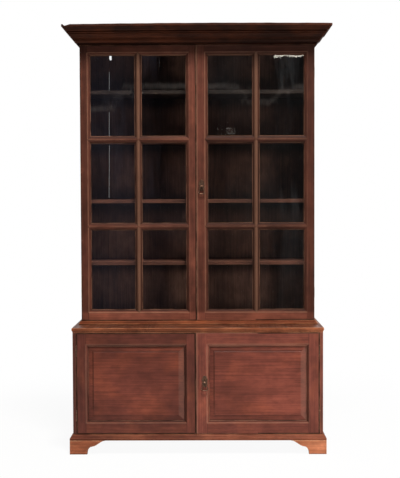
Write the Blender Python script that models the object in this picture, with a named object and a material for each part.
# A two-part mahogany bookcase: glazed doors above, fielded doors below.
# Metres, +Z up, front towards -Y, origin on the floor at the middle of the outline.
import math

import bmesh
import bpy
from mathutils import Vector

# Driving sizes
UPPER_WIDTH = 1.328
LOWER_WIDTH = 1.388
TOTAL_DEPTH = 0.500
UPPER_SETBACK = 0.170

# Clearances and small common sizes
GAP = 0.0003
CUT_OVERRUN = 0.004
EDGE_EASE = 0.0008
DOOR_RUN = 0.0025
DOOR_BACK_GAP = 0.0008
UPPER_MEETING_GAP = 0.0015
LOWER_MEETING_GAP = 0.0030

# Feet and base moulding
FOOT_HEIGHT = 0.0774
FOOT_TOE = 0.097
FOOT_SPUR = 0.123
FOOT_REACH = 0.198
FOOT_SPUR_HEIGHT = 0.043
FOOT_BOARD = 0.022
FOOT_BLOCK = 0.045
REAR_TOE = 0.070
REAR_REACH = 0.130
BASE_HEIGHT = 0.031
BASE_PROJECTION = 0.018
BASE_FILLET = 0.011
BASE_TOP_LEDGE = 0.004

# Lower case
LOWER_SIDE = 0.018
LOWER_BOTTOM = 0.020
LOWER_TOP = 0.0265
LOWER_TOP_OVERHANG = 0.005
LOWER_TOP_BEAD = 0.014
LOWER_BACK = 0.012
BACK_REBATE = 0.009

# Lower doors
LOWER_DOOR_HEIGHT = 0.5615
LOWER_DOOR_THICK = 0.022
LOWER_DOOR_SHIFT = 0.009
LOWER_LEFT_STILE = 0.0515
LOWER_RIGHT_STILE = 0.058
LOWER_TOP_RAIL = 0.062
LOWER_BOTTOM_RAIL = 0.060
LOWER_SIDE_RUN = 0.003
PANEL_MOULD = 0.014
PANEL_MOULD_DEPTH = 0.008
PANEL_LIP = 0.002
PANEL_GROOVE = 0.007
PANEL_TONGUE = 0.006
PANEL_MARGIN = 0.028
PANEL_STEP = 0.0015
PANEL_FIELD_DEPTH = 0.003

# Upper case
WAIST_HEIGHT = 0.020
WAIST_PROJECTION = 0.016
WAIST_FILLET = 0.006
UPPER_SIDE = 0.020
UPPER_BOARD = 0.020
SHELF_THICK = 0.0205
SHELF_SETBACK = 0.025
SHELF_HOUSING = 0.006
SHELF_SHARES = (0.2037, 0.4189, 0.6297, 0.7953)
PLANK_THICK = 0.012
PLANK_JOINT_SHARES = (-0.8261, -0.3497, 0.3261)
PLANK_LEAN = 0.0160
WIDE_CRACK = 0.0018
FINE_CRACK = 0.0006
NOTCH_WIDTH = 0.013
NOTCH_DEPTH = 0.149

# Upper doors
UPPER_DOOR_HEIGHT = 1.5613
UPPER_DOOR_THICK = 0.022
UPPER_DOOR_SHIFT = 0.005
DOOR_MEMBER = 0.059
UPPER_BOTTOM_RAIL = 0.062
GLAZING_BAR = 0.041
BAR_MOULD = 0.017
BAR_MOULD_DEPTH = 0.010
MOULD_QUIRK = 0.0015
SIGHT_FILLET = 0.002
GLASS_SEAT = 0.013
GLASS_REBATE = 0.008
GLASS_THICK = 0.0022
PANE_COLUMNS = 2
PANE_ROWS = 3
COCK_BEAD = 0.006
COCK_BEAD_PROUD = 0.0020

# Cornice
CORNICE_HEIGHT = 0.105
CORNICE_PROJECTION = 0.090
HEADER_THICK = 0.020
HEADER_DROP = 0.024
HEADER_KEY = 0.005

# Hinges
HINGE_LENGTH = 0.060
HINGE_BARREL = 0.0032
HINGE_CLEAR = 0.0006
HINGE_LEAF = 0.0018
UPPER_LEAF_WIDTH = 0.015
LOWER_LEAF_WIDTH = 0.018
UPPER_HINGE_INSET = 0.155
LOWER_HINGE_INSET = 0.100

# Escutcheons, handles and locks
PLATE_WIDTH = 0.034
PLATE_HEIGHT = 0.064
PLATE_THICK = 0.0018
KEYHOLE_RADIUS = 0.0028
KEYHOLE_SLOT = 0.0030
KEYHOLE_DROP = 0.0115
KEYHOLE_RISE = 0.013
LUG_RADIUS = 0.0050
LUG_WIDTH = 0.0080
LUG_STAND = 0.0080
BAIL_DROP = 0.006
BAIL_WIRE = 0.0020
BAIL_CLEAR = 0.0004
BAIL_TOP = 0.013
BAIL_FOOT = 0.036
BAIL_LENGTH = 0.044
UPPER_KEY_BACKSET = 0.028
LOWER_KEY_BACKSET = 0.046
UPPER_KEY_RISE = 0.7818
LOWER_KEY_RISE = 0.3051
LOCK_BEYOND_KEY = 0.012
LOCK_HEIGHT = 0.056
LOCK_DEPTH = 0.0105
BOLT_HEIGHT = 0.014
BOLT_THICK = 0.005
BOLT_TRAVEL = 0.008
BOLT_LENGTH = 0.024
BOLT_WALL = 0.002

# Round shapes and curves
ROD_SIDES = 20
WIRE_SIDES = 8
CURVE_STEPS = 6
SMOOTH_DEGREES = 40.0

# Shape shares of the mouldings: kind, share of the rise, share of the projection
CORNICE_SHARES = (
    ("line", 0.06, 0.00), ("ovolo", 0.17, 0.19), ("line", 0.00, 0.03), ("line", 0.05, 0.00),
    ("line", 0.00, 0.06), ("line", 0.04, 0.00), ("cyma", 0.18, 0.21), ("line", 0.05, 0.00),
    ("line", 0.00, 0.05), ("bead", 0.10, 0.05), ("line", 0.00, 0.05), ("cyma", 0.23, 0.26),
    ("line", 0.00, 0.02), ("line", 0.12, 0.00))
CORNICE_FOOT_SHARE = 0.13
STAGGER_SHARE = 0.5
MITRE_LIMIT_SHARE = 0.5
CYMA_SWING_SHARE = 0.80
BAIL_FLARE_SHARES = (0.35, 0.65)
BAIL_SIDE_SHARE = 0.80
PLATE_SHARES = (
    (0.00, 0.50), (0.22, 0.47), (0.34, 0.38), (0.30, 0.30), (0.48, 0.22), (0.50, 0.10),
    (0.36, 0.02), (0.34, -0.08), (0.50, -0.18), (0.46, -0.30), (0.28, -0.36), (0.20, -0.44), (0.00, -0.50))

# Places that follow from the sizes above
BACK = TOTAL_DEPTH / 2
LOWER_FRONT = -TOTAL_DEPTH / 2 + BASE_PROJECTION
BASE_TOP = FOOT_HEIGHT + BASE_HEIGHT
LOWER_DOOR_BOTTOM = BASE_TOP + DOOR_RUN
LOWER_DOOR_TOP = LOWER_DOOR_BOTTOM + LOWER_DOOR_HEIGHT
LOWER_TOP_UNDER = LOWER_DOOR_TOP + DOOR_RUN
LOWER_TOP_FACE = LOWER_TOP_UNDER + LOWER_TOP
LOWER_INSIDE = LOWER_WIDTH / 2 - LOWER_SIDE
LOWER_INNER_BACK = BACK - LOWER_BACK
UPPER_DOOR_FRONT = LOWER_FRONT + UPPER_SETBACK
UPPER_FRONT = UPPER_DOOR_FRONT + UPPER_DOOR_THICK + DOOR_BACK_GAP
UPPER_FOOT = LOWER_TOP_FACE + GAP
UPPER_FLOOR = UPPER_FOOT + UPPER_BOARD
UPPER_DOOR_BOTTOM = UPPER_FOOT + WAIST_HEIGHT + DOOR_RUN
UPPER_DOOR_TOP = UPPER_DOOR_BOTTOM + UPPER_DOOR_HEIGHT
CORNICE_FOOT = UPPER_DOOR_TOP + DOOR_RUN
TOTAL_HEIGHT = CORNICE_FOOT + CORNICE_HEIGHT
UPPER_HALF = UPPER_WIDTH / 2
UPPER_INSIDE = UPPER_HALF - UPPER_SIDE
UPPER_INNER_BACK = BACK - PLANK_THICK
TOP_UNDER = TOTAL_HEIGHT - UPPER_BOARD
UPPER_MEETING = -UPPER_DOOR_SHIFT
LOWER_MEETING = -LOWER_DOOR_SHIFT
PUTTY_FACE = GLASS_SEAT + GLASS_THICK
SHELF_TOPS = [UPPER_FLOOR + share * (TOP_UNDER - UPPER_FLOOR) for share in SHELF_SHARES]
PLANK_JOINTS = [share * UPPER_INSIDE for share in PLANK_JOINT_SHARES]
NOTCH_BOTTOM = TOTAL_HEIGHT - NOTCH_DEPTH
UPPER_KEY_HEIGHT = UPPER_DOOR_BOTTOM + UPPER_KEY_RISE
LOWER_KEY_HEIGHT = LOWER_DOOR_BOTTOM + LOWER_KEY_RISE

# Colours, linear, and finishes
MAHOGANY = (0.150, 0.042, 0.024)
MAHOGANY_DARK = (0.070, 0.024, 0.018)
MAHOGANY_PALE = (0.290, 0.100, 0.046)
INSIDE_WOOD = (0.045, 0.022, 0.017)
BACK_WOOD = (0.030, 0.019, 0.015)
OLD_BRASS = (0.060, 0.045, 0.028)
OLD_IRON = (0.040, 0.038, 0.036)
OLD_GLASS = (0.820, 0.850, 0.860)

for old in list(bpy.data.objects):
    bpy.data.objects.remove(old, do_unlink=True)


def finish(name, colour, roughness, metallic=0.0, transmission=0.0):
    """A Principled BSDF material for one piece."""
    material = bpy.data.materials.new(name)
    material.use_nodes = True
    shader = material.node_tree.nodes["Principled BSDF"]
    shader.inputs["Base Color"].default_value = (*colour, 1.0)
    shader.inputs["Roughness"].default_value = roughness
    shader.inputs["Metallic"].default_value = metallic
    shader.inputs["Transmission Weight"].default_value = transmission
    return material


def wood(name, colour=MAHOGANY):
    return finish(name, colour, 0.45)


def metal(name, colour=OLD_BRASS):
    return finish(name, colour, 0.50, metallic=1.0)


def make(name, shape, material, centre=(0.0, 0.0, 0.0), parent=None, smooth=False):
    """Turn a bmesh that is drawn round its own centre into a placed object."""
    bmesh.ops.recalc_face_normals(shape, faces=shape.faces)
    mesh = bpy.data.meshes.new(name)
    shape.to_mesh(mesh)
    shape.free()
    if smooth:
        mesh.shade_smooth()
        mesh.set_sharp_from_angle(angle=math.radians(SMOOTH_DEGREES))
    piece = bpy.data.objects.new(name, mesh)
    if material:
        mesh.materials.append(material)
    bpy.context.scene.collection.objects.link(piece)
    piece.location = Vector(centre)
    if parent:
        piece.parent = parent
        piece.location = Vector(centre) - parent.location
    return piece


def ease(piece, width=EDGE_EASE):
    """Take the sharp arris off a board, as a plane would."""
    bevel = piece.modifiers.new("eased_edges", "BEVEL")
    bevel.width = width
    bevel.segments = 1
    bevel.limit_method = "ANGLE"
    return piece


def box_shape(size):
    """A box of the given size round the origin."""
    shape = bmesh.new()
    bmesh.ops.create_cube(shape, size=1.0)
    bmesh.ops.scale(shape, vec=size, verts=shape.verts)
    return shape


def board(name, low, high, material, parent=None):
    """A planed board between two corners."""
    low, high = Vector(low), Vector(high)
    piece = make(name, box_shape(high - low), material, (low + high) / 2, parent)
    return ease(piece)


def prism_shape(outline, axis, start, end):
    """An outline of point pairs, extruded along one axis from start to end."""
    order = {"x": lambda a, b, c: (c, a, b), "y": lambda a, b, c: (a, c, b), "z": lambda a, b, c: (a, b, c)}
    place = order[axis]
    shape = bmesh.new()
    near = [shape.verts.new(place(a, b, start)) for a, b in outline]
    far = [shape.verts.new(place(a, b, end)) for a, b in outline]
    shape.faces.new(near)
    shape.faces.new(far[::-1])
    for i in range(len(outline)):
        j = (i + 1) % len(outline)
        shape.faces.new((near[i], far[i], far[j], near[j]))
    return shape


def rod_shape(radius, length, axis, sides=ROD_SIDES):
    """A round rod on one axis, round the origin, its corners clear of the axis planes."""
    turns = [2 * math.pi * (i + STAGGER_SHARE) / sides for i in range(sides)]
    outline = [(radius * math.cos(t), radius * math.sin(t)) for t in turns]
    return prism_shape(outline, axis, -length / 2, length / 2)


def as_cutter(piece):
    piece.hide_render = True
    piece.display_type = "WIRE"
    return piece


def box_cutter(name, low, high):
    low, high = Vector(low), Vector(high)
    return as_cutter(make(name, box_shape(high - low), None, (low + high) / 2))


def rod_cutter(name, centre, radius, length, axis):
    return as_cutter(make(name, rod_shape(radius, length, axis), None, centre))


def cut(piece, cutter, operation="DIFFERENCE"):
    boolean = piece.modifiers.new(cutter.name, "BOOLEAN")
    boolean.operation = operation
    boolean.solver = "EXACT"
    boolean.object = cutter


def rings_shape(rings):
    """Closed rings of equal count, bridged in turn, with both ends capped."""
    shape = bmesh.new()
    loops = [[shape.verts.new(point) for point in ring] for ring in rings]
    for first, second in zip(loops, loops[1:]):
        for i in range(len(first)):
            j = (i + 1) % len(first)
            shape.faces.new((first[i], first[j], second[j], second[i]))
    shape.faces.new(loops[0])
    shape.faces.new(loops[-1][::-1])
    return shape


def member(kind, rise, reach, steps=CURVE_STEPS):
    """Offsets (out, up) along one moulding member, without its first point."""
    if kind == "line":
        return [(reach, rise)]
    points = []
    for i in range(1, steps + 1):
        t = i / steps
        turn = math.pi / 2 * t
        if kind == "ovolo":
            points.append((reach * math.sin(turn), rise * (1.0 - math.cos(turn))))
        elif kind == "cove":
            points.append((reach * (1.0 - math.cos(turn)), rise * math.sin(turn)))
        elif kind == "cyma":
            points.append((reach * t, rise * (t - CYMA_SWING_SHARE * math.sin(2 * math.pi * t) / (2 * math.pi))))
        elif kind == "bead":
            points.append((reach * math.sin(math.pi * t), rise * (1.0 - math.cos(math.pi * t)) / 2))
    return points


def moulded(members, start):
    """Chain moulding members from a start point (out, up)."""
    outline = [start]
    for kind, rise, reach in members:
        out, up = outline[-1]
        outline += [(out + a, up + b) for a, b in member(kind, rise, reach)]
    return outline


# Feet: mitred bracket feet with an ogee outline and a block glued in the corner
def bracket_outline(toe, spur, reach, height, spur_height):
    """Outline of a bracket from its outer edge: a hollow to the spur, then an ogee to the rail."""
    outline = [(0.0, 0.0), (toe, 0.0)]
    for i in range(1, CURVE_STEPS + 1):
        turn = math.pi / 2 * i / CURVE_STEPS
        outline.append((toe + (spur - toe) * (1.0 - math.cos(turn)), spur_height * math.sin(turn)))
    for i in range(1, CURVE_STEPS + 1):
        t = i / CURVE_STEPS
        outline.append((spur + (reach - spur) * t, spur_height + (height - spur_height) * t * t * (3.0 - 2.0 * t)))
    outline.append((0.0, height))
    return outline


def foot(name, side, rear):
    """One foot: a side bracket, a front or rear bracket, and the block behind their corner."""
    height = FOOT_HEIGHT - GAP
    ogee = bracket_outline(FOOT_TOE, FOOT_SPUR, FOOT_REACH, height, FOOT_SPUR_HEIGHT)
    straight = [(0.0, 0.0), (REAR_TOE, 0.0), (REAR_REACH, height), (0.0, height)]
    corner_x = side * (LOWER_WIDTH / 2 + BASE_PROJECTION)
    corner_y = BACK if rear else -TOTAL_DEPTH / 2
    inward = -1.0 if rear else 1.0
    face = straight if rear else ogee
    main = prism_shape([(-side * a, b) for a, b in face], "y", 0.0, inward * FOOT_BOARD)
    piece = make(name, main, wood(name, MAHOGANY_PALE), (corner_x, corner_y, 0.0))
    wing = prism_shape([(inward * a, b) for a, b in ogee], "x", 0.0, -side * FOOT_BOARD)
    cut(piece, as_cutter(make(name + "_wing", wing, None, (corner_x, corner_y, 0.0))), "UNION")
    reach = FOOT_BOARD + FOOT_BLOCK
    block = box_shape((FOOT_BLOCK + FOOT_BOARD / 2, FOOT_BLOCK + FOOT_BOARD / 2, height - 2 * EDGE_EASE))
    middle = reach - (FOOT_BLOCK + FOOT_BOARD / 2) / 2
    centre = (corner_x - side * middle, corner_y + inward * middle, height / 2)
    cut(piece, as_cutter(make(name + "_block", block, None, centre)), "UNION")
    return piece


foot("foot_front_left", -1.0, False)
foot("foot_front_right", 1.0, False)
foot("foot_rear_left", -1.0, True)
foot("foot_rear_right", 1.0, True)


# Mouldings that run round the front and both sides of a case
def u_run(name, half, front, inner_half, inner_front, outer, low, high, material):
    """A moulding mitred round three sides; outer holds (out, z) from bottom to top."""
    rings = []
    for side, at_back in ((-1.0, True), (-1.0, False), (1.0, False), (1.0, True)):
        ring = [(side * inner_half, BACK if at_back else inner_front, low)]
        for out, z in outer:
            ring.append((side * (half + out), BACK if at_back else front - out, z))
        ring.append((side * inner_half, BACK if at_back else inner_front, high))
        rings.append(ring)
    return make(name, rings_shape(rings), material)


base_outline = moulded(
    [("line", BASE_FILLET, 0.0),
     ("cyma", BASE_HEIGHT - BASE_FILLET - BASE_TOP_LEDGE, BASE_TOP_LEDGE - BASE_PROJECTION + GAP),
     ("line", BASE_TOP_LEDGE, 0.0)],
    (BASE_PROJECTION, FOOT_HEIGHT))
u_run("base_moulding", LOWER_WIDTH / 2, LOWER_FRONT, LOWER_WIDTH / 2 + GAP, LOWER_FRONT - GAP,
      base_outline, FOOT_HEIGHT, BASE_TOP, wood("base_moulding"))

waist_outline = moulded(
    [("line", WAIST_FILLET, 0.0),
     ("cyma", WAIST_HEIGHT - WAIST_FILLET - GAP, WAIST_FILLET - WAIST_PROJECTION)],
    (WAIST_PROJECTION, UPPER_FOOT))
waist_top = waist_outline[-1][1]
u_run("waist_moulding", UPPER_HALF, UPPER_DOOR_FRONT, UPPER_HALF + GAP, UPPER_FRONT - GAP,
      waist_outline, UPPER_FOOT, waist_top, wood("waist_moulding"))


# Case sides: boards with a rebate for the back, housings and hinge seats
def side_board(name, side, outside, thick, front, low, high, back_thick, material):
    """A case side, with its back rebate, as a plan outline extruded upwards."""
    inside = outside - thick
    plan = [(outside, front), (outside, BACK), (outside - thick + BACK_REBATE, BACK),
            (outside - thick + BACK_REBATE, BACK - back_thick - GAP), (inside, BACK - back_thick - GAP), (inside, front)]
    shape = prism_shape([(side * (x - outside), y - front) for x, y in plan], "z", 0.0, high - low)
    return make(name, shape, material, (side * outside, front, low))


upper_sides = {}
lower_sides = {}
for hand, side in (("left", -1.0), ("right", 1.0)):
    name = "upper_side_" + hand
    upper_sides[hand] = side_board(name, side, UPPER_HALF, UPPER_SIDE, UPPER_FRONT, UPPER_FOOT, TOTAL_HEIGHT,
                                   PLANK_THICK, wood(name))
    for number, top in enumerate(SHELF_TOPS, 1):
        inner = side * (UPPER_INSIDE - CUT_OVERRUN)
        outer = side * (UPPER_INSIDE + SHELF_HOUSING)
        low = (min(inner, outer), UPPER_FRONT + SHELF_SETBACK - GAP, top - SHELF_THICK - GAP)
        high = (max(inner, outer), UPPER_INNER_BACK, top + GAP)
        cut(upper_sides[hand], box_cutter("housing_%s_%d" % (hand, number), low, high))
    name = "lower_side_" + hand
    lower_sides[hand] = side_board(name, side, LOWER_WIDTH / 2, LOWER_SIDE, LOWER_FRONT, FOOT_HEIGHT + GAP,
                                   LOWER_TOP_UNDER - GAP, LOWER_BACK, wood(name))

# Lower case boards
board("lower_bottom_board",
      (-LOWER_INSIDE + GAP, LOWER_FRONT, BASE_TOP - LOWER_BOTTOM),
      (LOWER_INSIDE - GAP, LOWER_INNER_BACK - GAP, BASE_TOP), wood("lower_bottom_board", INSIDE_WOOD))
board("lower_back_board",
      (-LOWER_INSIDE - BACK_REBATE + GAP, LOWER_INNER_BACK, FOOT_HEIGHT + GAP),
      (LOWER_INSIDE + BACK_REBATE - GAP, BACK, LOWER_TOP_UNDER - GAP), wood("lower_back_board", BACK_WOOD))


def moulded_top(name, outline, half, front, material):
    """A top board whose front and side edges follow an outline of (out, z)."""
    rings = []
    for out, z in outline:
        x, y = half + out, front - out
        rings.append([(-x, y, z), (x, y, z), (x, BACK, z), (-x, BACK, z)])
    return make(name, rings_shape(rings), material)


top_cove = LOWER_TOP - LOWER_TOP_BEAD - 2 * EDGE_EASE
top_outline = moulded(
    [("cove", top_cove, LOWER_TOP_OVERHANG - EDGE_EASE), ("line", EDGE_EASE, 0.0),
     ("bead", LOWER_TOP_BEAD, EDGE_EASE), ("line", EDGE_EASE, -EDGE_EASE)],
    (0.0, LOWER_TOP_UNDER))
moulded_top("lower_top_board", top_outline, LOWER_WIDTH / 2, LOWER_FRONT, wood("lower_top_board"))

# Upper case boards and shelves
board("upper_bottom_board",
      (-UPPER_INSIDE + GAP, UPPER_FRONT, UPPER_FOOT),
      (UPPER_INSIDE - GAP, UPPER_INNER_BACK - GAP, UPPER_FLOOR), wood("upper_bottom_board", INSIDE_WOOD))
board("upper_top_board",
      (-UPPER_INSIDE + GAP, UPPER_FRONT + GAP, TOP_UNDER),
      (UPPER_INSIDE - GAP, UPPER_INNER_BACK - GAP, TOTAL_HEIGHT), wood("upper_top_board", INSIDE_WOOD))
for number, top in enumerate(SHELF_TOPS, 1):
    reach = UPPER_INSIDE + SHELF_HOUSING - GAP
    name = "upper_shelf_%d" % number
    board(name, (-reach, UPPER_FRONT + SHELF_SETBACK, top - SHELF_THICK),
          (reach, UPPER_INNER_BACK - GAP, top), wood(name, MAHOGANY))


# Back planks: vertical boards, the first joint open and leaning, one corner broken off
def plank_edge(number, z):
    """Where the joint after plank number stands at a height."""
    if number:
        return PLANK_JOINTS[number]
    middle = (UPPER_FOOT + TOTAL_HEIGHT) / 2
    return PLANK_JOINTS[0] + PLANK_LEAN * (z - middle) / (TOTAL_HEIGHT - UPPER_FOOT)


def crack_after(number):
    """How far the joint after plank number stands open."""
    return FINE_CRACK if number else WIDE_CRACK


plank_ends = UPPER_INSIDE + BACK_REBATE - GAP
for number in range(len(PLANK_JOINTS) + 1):
    low, high = UPPER_FOOT, TOTAL_HEIGHT
    outline = []
    if number == 0:
        outline += [(-plank_ends, high), (-plank_ends, low)]
    else:
        crack = crack_after(number - 1) / 2
        if number == 1:
            outline.append((plank_edge(0, high) + crack + NOTCH_WIDTH, high))
            outline.append((plank_edge(0, NOTCH_BOTTOM) + crack + NOTCH_WIDTH, NOTCH_BOTTOM))
            outline.append((plank_edge(0, NOTCH_BOTTOM) + crack, NOTCH_BOTTOM))
        else:
            outline.append((plank_edge(number - 1, high) + crack, high))
        outline.append((plank_edge(number - 1, low) + crack, low))
    if number == len(PLANK_JOINTS):
        outline += [(plank_ends, low), (plank_ends, high)]
    else:
        crack = crack_after(number) / 2
        outline += [(plank_edge(number, low) - crack, low), (plank_edge(number, high) - crack, high)]
    name = "upper_back_plank_%d" % (number + 1)
    make(name, prism_shape(outline, "y", UPPER_INNER_BACK, BACK), wood(name, BACK_WOOD))

# Cornice: three mitred lengths of one section, the front one glued to its header rail
cornice_outline = moulded(
    [(kind, rise * CORNICE_HEIGHT, reach * CORNICE_PROJECTION) for kind, rise, reach in CORNICE_SHARES],
    (CORNICE_FOOT_SHARE * CORNICE_PROJECTION, CORNICE_FOOT))
mitre_ease = GAP / math.sqrt(2)


def cornice_front():
    """The front length, mitred outside the case and square over the case front."""
    depth = UPPER_FRONT - GAP - UPPER_DOOR_FRONT
    section = [(-depth, CORNICE_FOOT), (0.0, CORNICE_FOOT)] + cornice_outline
    section += [(0.0, TOTAL_HEIGHT), (-depth, TOTAL_HEIGHT)]
    shape = bmesh.new()
    loops = []
    for side in (-1.0, 1.0):
        loop = []
        for out, z in section:
            x = UPPER_HALF - mitre_ease + max(out, 0.0)
            loop.append(shape.verts.new((side * x, UPPER_DOOR_FRONT - out, z)))
        loops.append(loop)
    left, right = loops
    for i in range(len(section)):
        j = (i + 1) % len(section)
        shape.faces.new((left[i], left[j], right[j], right[i]))
    for loop in loops:
        shape.faces.new(loop[1:-1])
        shape.faces.new((loop[0], loop[1], loop[-2], loop[-1]))
    return make("cornice_front", shape, wood("cornice_front", MAHOGANY_DARK))


front_length = cornice_front()
header_outline = [
    (UPPER_FRONT, CORNICE_FOOT - HEADER_DROP), (UPPER_FRONT + HEADER_THICK, CORNICE_FOOT - HEADER_DROP),
    (UPPER_FRONT + HEADER_THICK, TOP_UNDER - GAP), (UPPER_FRONT - HEADER_KEY, TOP_UNDER - GAP),
    (UPPER_FRONT - HEADER_KEY, CORNICE_FOOT + HEADER_KEY), (UPPER_FRONT, CORNICE_FOOT + HEADER_KEY)]
header = prism_shape(header_outline, "x", -UPPER_INSIDE + GAP, UPPER_INSIDE - GAP)
cut(front_length, as_cutter(make("header_rail", header, None)), "UNION")
for hand, side in (("left", -1.0), ("right", 1.0)):
    section = [(GAP, CORNICE_FOOT)] + cornice_outline + [(GAP, TOTAL_HEIGHT)]
    mitre = [(side * (UPPER_HALF + out), UPPER_DOOR_FRONT - out + mitre_ease, z) for out, z in section]
    square = [(side * (UPPER_HALF + out), BACK, z) for out, z in section]
    name = "cornice_" + hand
    make(name, rings_shape([mitre, square]), wood(name, MAHOGANY_DARK))


# Door frames: stiles, rails and bars joined for good, with moulded inner edges
def ovolo_edge(width, depth):
    """Offsets (out from the sight line, depth) over a rounded inner edge, front to sight line."""
    points = [(width, 0.0), (width, MOULD_QUIRK)]
    for i in range(1, CURVE_STEPS + 1):
        turn = math.pi / 2 * i / CURVE_STEPS
        out = SIGHT_FILLET + (width - SIGHT_FILLET) * (1.0 - math.sin(turn))
        points.append((out, MOULD_QUIRK + (depth - MOULD_QUIRK) * (1.0 - math.cos(turn))))
    points.append((0.0, depth))
    return points


def frame_shape(width, height, thick, columns, rows, edge):
    """A frame with openings; columns and rows hold (low, high) sight lines, edge runs front to back."""
    def grid(depth, offset):
        xs = [0.0] + [v for low, high in columns for v in (low - offset, high + offset)] + [width]
        zs = [0.0] + [v for low, high in rows for v in (low - offset, high + offset)] + [height]
        return [[shape.verts.new((x, depth, z)) for z in zs] for x in xs]

    shape = bmesh.new()
    front = grid(0.0, edge[0][0])
    back = grid(thick, edge[-1][0])
    across, up = len(front), len(front[0])
    for i in range(across - 1):
        for j in range(up - 1):
            if i % 2 and j % 2:
                continue
            for sheet in (front, back):
                shape.faces.new((sheet[i][j], sheet[i + 1][j], sheet[i + 1][j + 1], sheet[i][j + 1]))
    for i in range(across - 1):
        for j in (0, up - 1):
            shape.faces.new((front[i][j], front[i + 1][j], back[i + 1][j], back[i][j]))
    for j in range(up - 1):
        for i in (0, across - 1):
            shape.faces.new((front[i][j], front[i][j + 1], back[i][j + 1], back[i][j]))
    for c, (left, right) in enumerate(columns):
        for r, (low, high) in enumerate(rows):
            i, j = 2 * c + 1, 2 * r + 1
            corners = ((i, j), (i + 1, j), (i + 1, j + 1), (i, j + 1))
            loops = [[front[a][b] for a, b in corners]]
            for out, depth in edge[1:-1]:
                ring = ((left - out, low - out), (right + out, low - out),
                        (right + out, high + out), (left - out, high + out))
                loops.append([shape.verts.new((x, depth, z)) for x, z in ring])
            loops.append([back[a][b] for a, b in corners])
            for first, second in zip(loops, loops[1:]):
                for k in range(4):
                    n = (k + 1) % 4
                    shape.faces.new((first[k], first[n], second[n], second[k]))
    return shape


def spread(start, end, count, bar):
    """Equal openings between two sight lines with bars between them."""
    opening = (end - start - bar * (count - 1)) / count
    return [(start + i * (opening + bar), start + i * (opening + bar) + opening) for i in range(count)]


def pivot(name, place):
    """An empty on a joint axis."""
    empty = bpy.data.objects.new(name, None)
    bpy.context.scene.collection.objects.link(empty)
    empty.location = Vector(place)
    return empty


def seat_hinge(name, axis_x, axis_y, z, side, leaf_low, leaf_high, case_side, door):
    """A butt hinge: its barrel and the leaf let into the case side, with room for both cut out."""
    clear = HINGE_CLEAR
    barrel = rod_shape(HINGE_BARREL, HINGE_LENGTH, "z")
    piece = make(name, barrel, metal(name), (axis_x, axis_y, z), smooth=True)
    half = HINGE_LENGTH / 2
    leaf = box_cutter(name + "_leaf", (leaf_low[0], leaf_low[1], z - half), (leaf_high[0], leaf_high[1], z + half))
    cut(piece, leaf, "UNION")
    low = (leaf_low[0] - GAP, leaf_low[1] - GAP, z - half - GAP)
    high = (leaf_high[0] + GAP, leaf_high[1] + GAP, z + half + GAP)
    cut(case_side, box_cutter(name + "_seat", low, high))
    reach = HINGE_LENGTH + 2 * clear
    cut(case_side, rod_cutter(name + "_case_bore", (axis_x, axis_y, z), HINGE_BARREL + clear, reach, "z"))
    cut(door, rod_cutter(name + "_door_bore", (axis_x, axis_y, z), HINGE_BARREL + clear, reach, "z"))
    return piece


# Upper doors: hung on the front of the case sides
glass_edge = ovolo_edge(BAR_MOULD, BAR_MOULD_DEPTH) + [
    (0.0, GLASS_SEAT), (GLASS_REBATE, GLASS_SEAT), (GLASS_REBATE, UPPER_DOOR_THICK)]
upper_axis_y = UPPER_FRONT - DOOR_BACK_GAP / 2
upper_pivots = {}
upper_frames = {}
for hand, side in (("left", -1.0), ("right", 1.0)):
    meeting = UPPER_MEETING + side * UPPER_MEETING_GAP / 2
    low_x, high_x = sorted((meeting, side * UPPER_HALF))
    width = high_x - low_x
    bead = COCK_BEAD if hand == "right" else 0.0
    upper_pivots[hand] = pivot("upper_door_axis_" + hand, (side * UPPER_HALF, upper_axis_y, UPPER_DOOR_BOTTOM))
    columns = spread(DOOR_MEMBER + bead, width - DOOR_MEMBER, PANE_COLUMNS, GLAZING_BAR)
    rows = spread(UPPER_BOTTOM_RAIL, UPPER_DOOR_HEIGHT - DOOR_MEMBER, PANE_ROWS, GLAZING_BAR)
    shape = frame_shape(width, UPPER_DOOR_HEIGHT, UPPER_DOOR_THICK, columns, rows, glass_edge)
    name = "upper_%s_door_frame" % hand
    corner = (low_x, UPPER_DOOR_FRONT, UPPER_DOOR_BOTTOM)
    upper_frames[hand] = make(name, shape, wood(name), corner, upper_pivots[hand])
    for c, (left, right) in enumerate(columns):
        for r, (low, high) in enumerate(rows):
            lap = GLASS_REBATE - 2 * GAP
            pane = "upper_%s_pane_%d" % (hand, c + 1 + PANE_COLUMNS * (PANE_ROWS - 1 - r))
            first = Vector(corner) + Vector((left - lap, GLASS_SEAT + GAP, low - lap))
            last = Vector(corner) + Vector((right + lap, PUTTY_FACE + GAP, high + lap))
            material = finish(pane, OLD_GLASS, 0.05, transmission=1.0)
            make(pane, box_shape(last - first), material, (first + last) / 2, upper_pivots[hand])
    for place, z in (("top", UPPER_DOOR_TOP - UPPER_HINGE_INSET), ("bottom", UPPER_DOOR_BOTTOM + UPPER_HINGE_INSET)):
        inner, outer = side * (UPPER_HALF - UPPER_LEAF_WIDTH), side * UPPER_HALF
        seat_hinge("upper_%s_hinge_%s" % (hand, place), side * UPPER_HALF, upper_axis_y, z, side,
                   (min(inner, outer), UPPER_FRONT), (max(inner, outer), UPPER_FRONT + HINGE_LEAF),
                   upper_sides[hand], upper_frames[hand])

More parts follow.
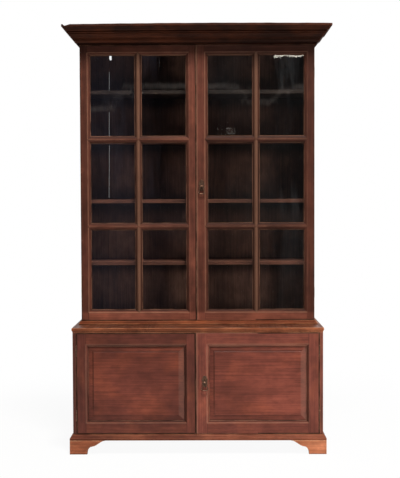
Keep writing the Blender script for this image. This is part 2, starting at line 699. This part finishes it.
# The bead worked on the meeting edge of the right upper door
bead_x = UPPER_MEETING + UPPER_MEETING_GAP / 2
bead_outline = [(bead_x + COCK_BEAD / 2 * (1.0 - math.cos(math.pi * i / CURVE_STEPS)),
                 UPPER_DOOR_FRONT - COCK_BEAD_PROUD * math.sin(math.pi * i / CURVE_STEPS))
                for i in range(CURVE_STEPS + 1)]
bead_outline += [(bead_x + COCK_BEAD, UPPER_DOOR_FRONT + COCK_BEAD), (bead_x, UPPER_DOOR_FRONT + COCK_BEAD)]
bead_piece = make("cock_bead", prism_shape(bead_outline, "z", UPPER_DOOR_BOTTOM, UPPER_DOOR_TOP), None)
cut(upper_frames["right"], as_cutter(bead_piece), "UNION")

# Lower doors: inset between the case sides, each with a fielded panel in a groove
panel_seat = PANEL_MOULD_DEPTH + PANEL_LIP
panel_back = panel_seat + PANEL_TONGUE
panel_edge = ovolo_edge(PANEL_MOULD, PANEL_MOULD_DEPTH) + [
    (0.0, panel_seat), (PANEL_GROOVE, panel_seat), (PANEL_GROOVE, panel_back + 2 * GAP),
    (0.0, panel_back + 2 * GAP), (0.0, LOWER_DOOR_THICK)]
lower_pivots = {}
lower_frames = {}
for hand, side in (("left", -1.0), ("right", 1.0)):
    meeting = LOWER_MEETING + side * LOWER_MEETING_GAP / 2
    hung = side * (LOWER_INSIDE - LOWER_SIDE_RUN)
    low_x, high_x = sorted((meeting, hung))
    width = high_x - low_x
    stile = LOWER_LEFT_STILE if hand == "left" else LOWER_RIGHT_STILE
    axis_x = side * (LOWER_INSIDE - LOWER_SIDE_RUN / 2)
    lower_pivots[hand] = pivot("lower_door_axis_" + hand, (axis_x, LOWER_FRONT, LOWER_DOOR_BOTTOM))
    columns = [(stile + PANEL_MOULD, width - stile - PANEL_MOULD)]
    rows = [(LOWER_BOTTOM_RAIL + PANEL_MOULD, LOWER_DOOR_HEIGHT - LOWER_TOP_RAIL - PANEL_MOULD)]
    shape = frame_shape(width, LOWER_DOOR_HEIGHT, LOWER_DOOR_THICK, columns, rows, panel_edge)
    name = "lower_%s_door_frame" % hand
    corner = Vector((low_x, LOWER_FRONT, LOWER_DOOR_BOTTOM))
    lower_frames[hand] = make(name, shape, wood(name), corner, lower_pivots[hand])
    (left, right), (low, high) = columns[0], rows[0]
    lap = PANEL_GROOVE - 2 * GAP
    section = [(lap, panel_back + GAP), (lap, panel_seat + GAP), (-GAP, panel_seat + GAP),
               (-PANEL_MARGIN, PANEL_FIELD_DEPTH + PANEL_STEP), (-PANEL_MARGIN - PANEL_STEP, PANEL_FIELD_DEPTH)]
    rings = []
    for out, depth in section:
        rings.append([(left - out, depth, low - out), (right + out, depth, low - out),
                      (right + out, depth, high + out), (left - out, depth, high + out)])
    name = "lower_%s_door_panel" % hand
    make(name, rings_shape(rings), wood(name), corner, lower_pivots[hand])
    for place, z in (("top", LOWER_DOOR_TOP - LOWER_HINGE_INSET), ("bottom", LOWER_DOOR_BOTTOM + LOWER_HINGE_INSET)):
        inner, outer = side * (LOWER_INSIDE - LOWER_SIDE_RUN / 2), side * (LOWER_INSIDE + HINGE_LEAF - GAP)
        seat_hinge("lower_%s_hinge_%s" % (hand, place), axis_x, LOWER_FRONT, z, side,
                   (min(inner, outer), LOWER_FRONT), (max(inner, outer), LOWER_FRONT + LOWER_LEAF_WIDTH),
                   lower_sides[hand], lower_frames[hand])


# Locks and handles on the right doors: plate with keyhole and lug, bail, lock case and bolt
def keyhole_shape(length):
    """A keyhole along Y: a round eye over a straight slot."""
    outline = []
    edge = math.asin(KEYHOLE_SLOT / 2 / KEYHOLE_RADIUS)
    for i in range(ROD_SIDES - 1):
        turn = -math.pi / 2 + edge + (2 * math.pi - 2 * edge) * i / (ROD_SIDES - 2)
        outline.append((KEYHOLE_RADIUS * math.cos(turn), KEYHOLE_RADIUS * math.sin(turn)))
    outline += [(-KEYHOLE_SLOT / 2, -KEYHOLE_DROP), (KEYHOLE_SLOT / 2, -KEYHOLE_DROP)]
    return prism_shape(outline, "y", -length / 2, length / 2)


def bail_points():
    """The bail's centre line in its hanging plane: top bar, flared sides and a bowed foot."""
    top, bottom, length = BAIL_TOP / 2, BAIL_FOOT / 2, BAIL_LENGTH
    slow, fast = BAIL_FLARE_SHARES
    steps = 2 * CURVE_STEPS
    side = []
    for i in range(steps + 1):
        t = i / steps
        side.append((top + (bottom - top) * (slow * t + fast * t * t), -length * BAIL_SIDE_SHARE * t))
    foot_bow = []
    for i in range(1, steps):
        turn = math.pi * i / steps
        drop = BAIL_SIDE_SHARE + (1.0 - BAIL_SIDE_SHARE) * math.sin(turn)
        foot_bow.append((bottom * math.cos(turn), -length * drop))
    return side + foot_bow + [(-x, z) for x, z in reversed(side)]


def bail_shape(sides=WIRE_SIDES):
    """A round wire bent along the closed centre line, in the XZ plane."""
    shape = bmesh.new()
    points = bail_points()
    count = len(points)
    rings = []
    for i, (x, z) in enumerate(points):
        before, after = Vector(points[i - 1]), Vector(points[(i + 1) % count])
        here = Vector((x, z))
        incoming = (here - before).normalized()
        outgoing = (after - here).normalized()
        along = (incoming + outgoing).normalized()
        across = Vector((along.y, -along.x))
        mitre = 1.0 / max(across.dot(Vector((incoming.y, -incoming.x))), MITRE_LIMIT_SHARE)
        ring = []
        for k in range(sides):
            turn = 2 * math.pi * k / sides
            out = BAIL_WIRE * math.cos(turn) * mitre
            ring.append(shape.verts.new((x + across.x * out, BAIL_WIRE * math.sin(turn), z + across.y * out)))
        rings.append(ring)
    for i in range(count):
        first, second = rings[i], rings[(i + 1) % count]
        for k in range(sides):
            n = (k + 1) % sides
            shape.faces.new((first[k], first[n], second[n], second[k]))
    return shape


def lock_set(level, meeting, front, thick, backset, key_z, door, other_door, axis):
    """Everything that locks and pulls one right door."""
    key_x = meeting + backset
    name = level + "_escutcheon"
    right = [(a * PLATE_WIDTH, b * PLATE_HEIGHT) for a, b in PLATE_SHARES]
    outline = right + [(-a, b) for a, b in right[-2:0:-1]]
    plate_z = key_z - KEYHOLE_RISE
    face = front - GAP
    plate = make(name, prism_shape(outline, "y", -PLATE_THICK, 0.0), metal(name), (key_x, face, plate_z), axis)
    pivot_y = face - PLATE_THICK - LUG_STAND
    pivot_z = plate_z - BAIL_DROP
    lug_outline = [(pivot_y + LUG_RADIUS * math.cos(t), pivot_z + LUG_RADIUS * math.sin(t))
                   for t in [math.pi / 2 + math.pi * i / CURVE_STEPS for i in range(CURVE_STEPS + 1)]]
    root_y = face - PLATE_THICK / 2
    lug_outline += [(root_y, pivot_z - LUG_RADIUS), (root_y, pivot_z + LUG_RADIUS)]
    lug = prism_shape(lug_outline, "x", key_x - LUG_WIDTH / 2, key_x + LUG_WIDTH / 2)
    cut(plate, as_cutter(make(name + "_lug", lug, None)), "UNION")
    bore = rod_cutter(name + "_bore", (key_x, pivot_y, pivot_z), BAIL_WIRE + BAIL_CLEAR, 2 * LUG_WIDTH, "x")
    cut(plate, bore)
    keyhole = make(name + "_keyhole", keyhole_shape(2 * PLATE_THICK), None, (key_x, face - PLATE_THICK / 2, key_z))
    cut(plate, as_cutter(keyhole))
    bail_axis = pivot(level + "_bail_axis", (key_x, pivot_y, pivot_z))
    bail_axis.parent = axis
    bail_axis.location = Vector((key_x, pivot_y, pivot_z)) - axis.location
    name = level + "_bail"
    bail = make(name, bail_shape(), metal(name), smooth=True)
    bail.parent = bail_axis
    # The lock case is let into the back of the stile, its edge flush with the meeting edge.
    back = front + thick
    lock_front = back - LOCK_DEPTH
    reach = backset + LOCK_BEYOND_KEY
    low = Vector((meeting + GAP, lock_front, key_z - LOCK_HEIGHT / 2))
    high = Vector((meeting + reach, back, key_z + LOCK_HEIGHT / 2))
    name = level + "_lock_case"
    case = board(name, low, high, metal(name, OLD_IRON), axis)
    room = Vector((GAP, GAP, GAP))
    recess_low = low - room - Vector((CUT_OVERRUN, 0.0, 0.0))
    recess_high = high + room + Vector((0.0, CUT_OVERRUN, 0.0))
    cut(door, box_cutter(name + "_recess", recess_low, recess_high))
    through = lock_front - front + 2 * CUT_OVERRUN
    passage = make(name + "_passage", keyhole_shape(through), None, (key_x, (front + lock_front) / 2, key_z))
    cut(door, as_cutter(passage))
    bolt_y = lock_front + BOLT_WALL
    bolt_low = Vector((meeting + 2 * GAP, bolt_y, key_z - BOLT_HEIGHT / 2 + KEYHOLE_RISE))
    bolt_high = bolt_low + Vector((BOLT_LENGTH, BOLT_THICK, BOLT_HEIGHT))
    slot_low = bolt_low - room - Vector((CUT_OVERRUN, 0.0, 0.0))
    cut(case, box_cutter(name + "_slot", slot_low, bolt_high + room))
    name = level + "_lock_bolt"
    board(name, bolt_low, bolt_high, metal(name), axis)
    throw = Vector((BOLT_TRAVEL + 2 * GAP + CUT_OVERRUN, 0.0, 0.0))
    margin = Vector((0.0, 2 * GAP, 2 * GAP))
    tip = Vector((bolt_low.x, bolt_high.y, bolt_high.z))
    cut(other_door, box_cutter(name + "_mortise", bolt_low - throw - margin, tip + margin))


lock_set("upper", UPPER_MEETING + UPPER_MEETING_GAP / 2, UPPER_DOOR_FRONT, UPPER_DOOR_THICK, UPPER_KEY_BACKSET,
         UPPER_KEY_HEIGHT, upper_frames["right"], upper_frames["left"], upper_pivots["right"])
lock_set("lower", LOWER_MEETING + LOWER_MEETING_GAP / 2, LOWER_FRONT, LOWER_DOOR_THICK, LOWER_KEY_BACKSET,
         LOWER_KEY_HEIGHT, lower_frames["right"], lower_frames["left"], lower_pivots["right"])
